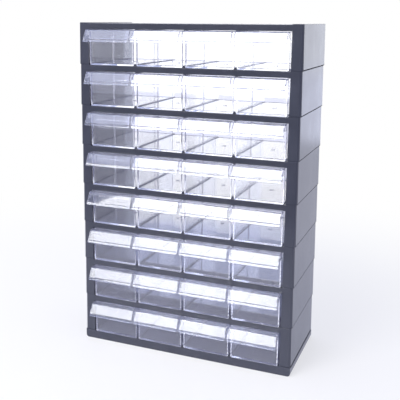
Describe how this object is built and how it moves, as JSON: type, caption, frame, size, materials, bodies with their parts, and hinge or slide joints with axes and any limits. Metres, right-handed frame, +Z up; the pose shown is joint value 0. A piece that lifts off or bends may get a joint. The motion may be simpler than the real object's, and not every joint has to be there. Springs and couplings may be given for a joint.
{
  "type": "parts bin cabinet",
  "caption": "Free-standing stacked cabinet of black plastic modules on a low plinth, filled with clear sliding drawers with awning handles.",
  "frame": {"origin": "on the surface it stands on, under the centre of the overall box (handles included)", "axes": "+Z up, -Y the way the drawers open, +X to the right seen from the front"},
  "size_m": [0.3, 0.1458, 0.4445],
  "materials": {
    "black_plastic": "moulded, fine satin, slightly streaked sides",
    "clear_plastic": "clear moulded, polished, faint lilac tint"
  },
  "bodies": {
    "cabinet": {"base_plinth": "black_plastic", "frame_module_1": "black_plastic", "frame_module_2": "black_plastic", "frame_module_3": "black_plastic", "frame_module_4": "black_plastic", "frame_module_5": "black_plastic", "frame_module_6": "black_plastic", "frame_module_7": "black_plastic", "frame_module_8": "black_plastic"},
    "drawer_r1c1": {"drawer_r1c1": "clear_plastic"},
    "drawer_r1c2": {"drawer_r1c2": "clear_plastic"},
    "drawer_r1c3": {"drawer_r1c3": "clear_plastic"},
    "drawer_r1c4": {"drawer_r1c4": "clear_plastic"},
    "drawer_r2c1": {"drawer_r2c1": "clear_plastic"},
    "drawer_r2c2": {"drawer_r2c2": "clear_plastic"},
    "drawer_r2c3": {"drawer_r2c3": "clear_plastic"},
    "drawer_r2c4": {"drawer_r2c4": "clear_plastic"},
    "drawer_r3c1": {"drawer_r3c1": "clear_plastic"},
    "drawer_r3c2": {"drawer_r3c2": "clear_plastic"},
    "drawer_r3c3": {"drawer_r3c3": "clear_plastic"},
    "drawer_r3c4": {"drawer_r3c4": "clear_plastic"},
    "drawer_r4c1": {"drawer_r4c1": "clear_plastic"},
    "drawer_r4c2": {"drawer_r4c2": "clear_plastic"},
    "drawer_r4c3": {"drawer_r4c3": "clear_plastic"},
    "drawer_r4c4": {"drawer_r4c4": "clear_plastic"},
    "drawer_r5c1": {"drawer_r5c1": "clear_plastic"},
    "drawer_r5c2": {"drawer_r5c2": "clear_plastic"},
    "drawer_r5c3": {"drawer_r5c3": "clear_plastic"},
    "drawer_r5c4": {"drawer_r5c4": "clear_plastic"},
    "drawer_r6c1": {"drawer_r6c1": "clear_plastic"},
    "drawer_r6c2": {"drawer_r6c2": "clear_plastic"},
    "drawer_r6c3": {"drawer_r6c3": "clear_plastic"},
    "drawer_r6c4": {"drawer_r6c4": "clear_plastic"},
    "drawer_r7c1": {"drawer_r7c1": "clear_plastic"},
    "drawer_r7c2": {"drawer_r7c2": "clear_plastic"},
    "drawer_r7c3": {"drawer_r7c3": "clear_plastic"},
    "drawer_r7c4": {"drawer_r7c4": "clear_plastic"},
    "drawer_r8c1": {"drawer_r8c1": "clear_plastic"},
    "drawer_r8c2": {"drawer_r8c2": "clear_plastic"},
    "drawer_r8c3": {"drawer_r8c3": "clear_plastic"},
    "drawer_r8c4": {"drawer_r8c4": "clear_plastic"}
  },
  "joints": [
    {"name": "drawer_r1c1_slide", "type": "slide", "parent": "cabinet", "child": "drawer_r1c1", "axis": [0, -1, 0], "range_m": [0, 0.12]},
    {"name": "drawer_r1c2_slide", "type": "slide", "parent": "cabinet", "child": "drawer_r1c2", "axis": [0, -1, 0], "range_m": [0, 0.12]},
    {"name": "drawer_r1c3_slide", "type": "slide", "parent": "cabinet", "child": "drawer_r1c3", "axis": [0, -1, 0], "range_m": [0, 0.12]},
    {"name": "drawer_r1c4_slide", "type": "slide", "parent": "cabinet", "child": "drawer_r1c4", "axis": [0, -1, 0], "range_m": [0, 0.12]},
    {"name": "drawer_r2c1_slide", "type": "slide", "parent": "cabinet", "child": "drawer_r2c1", "axis": [0, -1, 0], "range_m": [0, 0.12]},
    {"name": "drawer_r2c2_slide", "type": "slide", "parent": "cabinet", "child": "drawer_r2c2", "axis": [0, -1, 0], "range_m": [0, 0.12]},
    {"name": "drawer_r2c3_slide", "type": "slide", "parent": "cabinet", "child": "drawer_r2c3", "axis": [0, -1, 0], "range_m": [0, 0.12]},
    {"name": "drawer_r2c4_slide", "type": "slide", "parent": "cabinet", "child": "drawer_r2c4", "axis": [0, -1, 0], "range_m": [0, 0.12]},
    {"name": "drawer_r3c1_slide", "type": "slide", "parent": "cabinet", "child": "drawer_r3c1", "axis": [0, -1, 0], "range_m": [0, 0.12]},
    {"name": "drawer_r3c2_slide", "type": "slide", "parent": "cabinet", "child": "drawer_r3c2", "axis": [0, -1, 0], "range_m": [0, 0.12]},
    {"name": "drawer_r3c3_slide", "type": "slide", "parent": "cabinet", "child": "drawer_r3c3", "axis": [0, -1, 0], "range_m": [0, 0.12]},
    {"name": "drawer_r3c4_slide", "type": "slide", "parent": "cabinet", "child": "drawer_r3c4", "axis": [0, -1, 0], "range_m": [0, 0.12]},
    {"name": "drawer_r4c1_slide", "type": "slide", "parent": "cabinet", "child": "drawer_r4c1", "axis": [0, -1, 0], "range_m": [0, 0.12]},
    {"name": "drawer_r4c2_slide", "type": "slide", "parent": "cabinet", "child": "drawer_r4c2", "axis": [0, -1, 0], "range_m": [0, 0.12]},
    {"name": "drawer_r4c3_slide", "type": "slide", "parent": "cabinet", "child": "drawer_r4c3", "axis": [0, -1, 0], "range_m": [0, 0.12]},
    {"name": "drawer_r4c4_slide", "type": "slide", "parent": "cabinet", "child": "drawer_r4c4", "axis": [0, -1, 0], "range_m": [0, 0.12]},
    {"name": "drawer_r5c1_slide", "type": "slide", "parent": "cabinet", "child": "drawer_r5c1", "axis": [0, -1, 0], "range_m": [0, 0.12]},
    {"name": "drawer_r5c2_slide", "type": "slide", "parent": "cabinet", "child": "drawer_r5c2", "axis": [0, -1, 0], "range_m": [0, 0.12]},
    {"name": "drawer_r5c3_slide", "type": "slide", "parent": "cabinet", "child": "drawer_r5c3", "axis": [0, -1, 0], "range_m": [0, 0.12]},
    {"name": "drawer_r5c4_slide", "type": "slide", "parent": "cabinet", "child": "drawer_r5c4", "axis": [0, -1, 0], "range_m": [0, 0.12]},
    {"name": "drawer_r6c1_slide", "type": "slide", "parent": "cabinet", "child": "drawer_r6c1", "axis": [0, -1, 0], "range_m": [0, 0.12]},
    {"name": "drawer_r6c2_slide", "type": "slide", "parent": "cabinet", "child": "drawer_r6c2", "axis": [0, -1, 0], "range_m": [0, 0.12]},
    {"name": "drawer_r6c3_slide", "type": "slide", "parent": "cabinet", "child": "drawer_r6c3", "axis": [0, -1, 0], "range_m": [0, 0.12]},
    {"name": "drawer_r6c4_slide", "type": "slide", "parent": "cabinet", "child": "drawer_r6c4", "axis": [0, -1, 0], "range_m": [0, 0.12]},
    {"name": "drawer_r7c1_slide", "type": "slide", "parent": "cabinet", "child": "drawer_r7c1", "axis": [0, -1, 0], "range_m": [0, 0.12]},
    {"name": "drawer_r7c2_slide", "type": "slide", "parent": "cabinet", "child": "drawer_r7c2", "axis": [0, -1, 0], "range_m": [0, 0.12]},
    {"name": "drawer_r7c3_slide", "type": "slide", "parent": "cabinet", "child": "drawer_r7c3", "axis": [0, -1, 0], "range_m": [0, 0.12]},
    {"name": "drawer_r7c4_slide", "type": "slide", "parent": "cabinet", "child": "drawer_r7c4", "axis": [0, -1, 0], "range_m": [0, 0.12]},
    {"name": "drawer_r8c1_slide", "type": "slide", "parent": "cabinet", "child": "drawer_r8c1", "axis": [0, -1, 0], "range_m": [0, 0.12]},
    {"name": "drawer_r8c2_slide", "type": "slide", "parent": "cabinet", "child": "drawer_r8c2", "axis": [0, -1, 0], "range_m": [0, 0.12]},
    {"name": "drawer_r8c3_slide", "type": "slide", "parent": "cabinet", "child": "drawer_r8c3", "axis": [0, -1, 0], "range_m": [0, 0.12]},
    {"name": "drawer_r8c4_slide", "type": "slide", "parent": "cabinet", "child": "drawer_r8c4", "axis": [0, -1, 0], "range_m": [0, 0.12]}
  ]
}
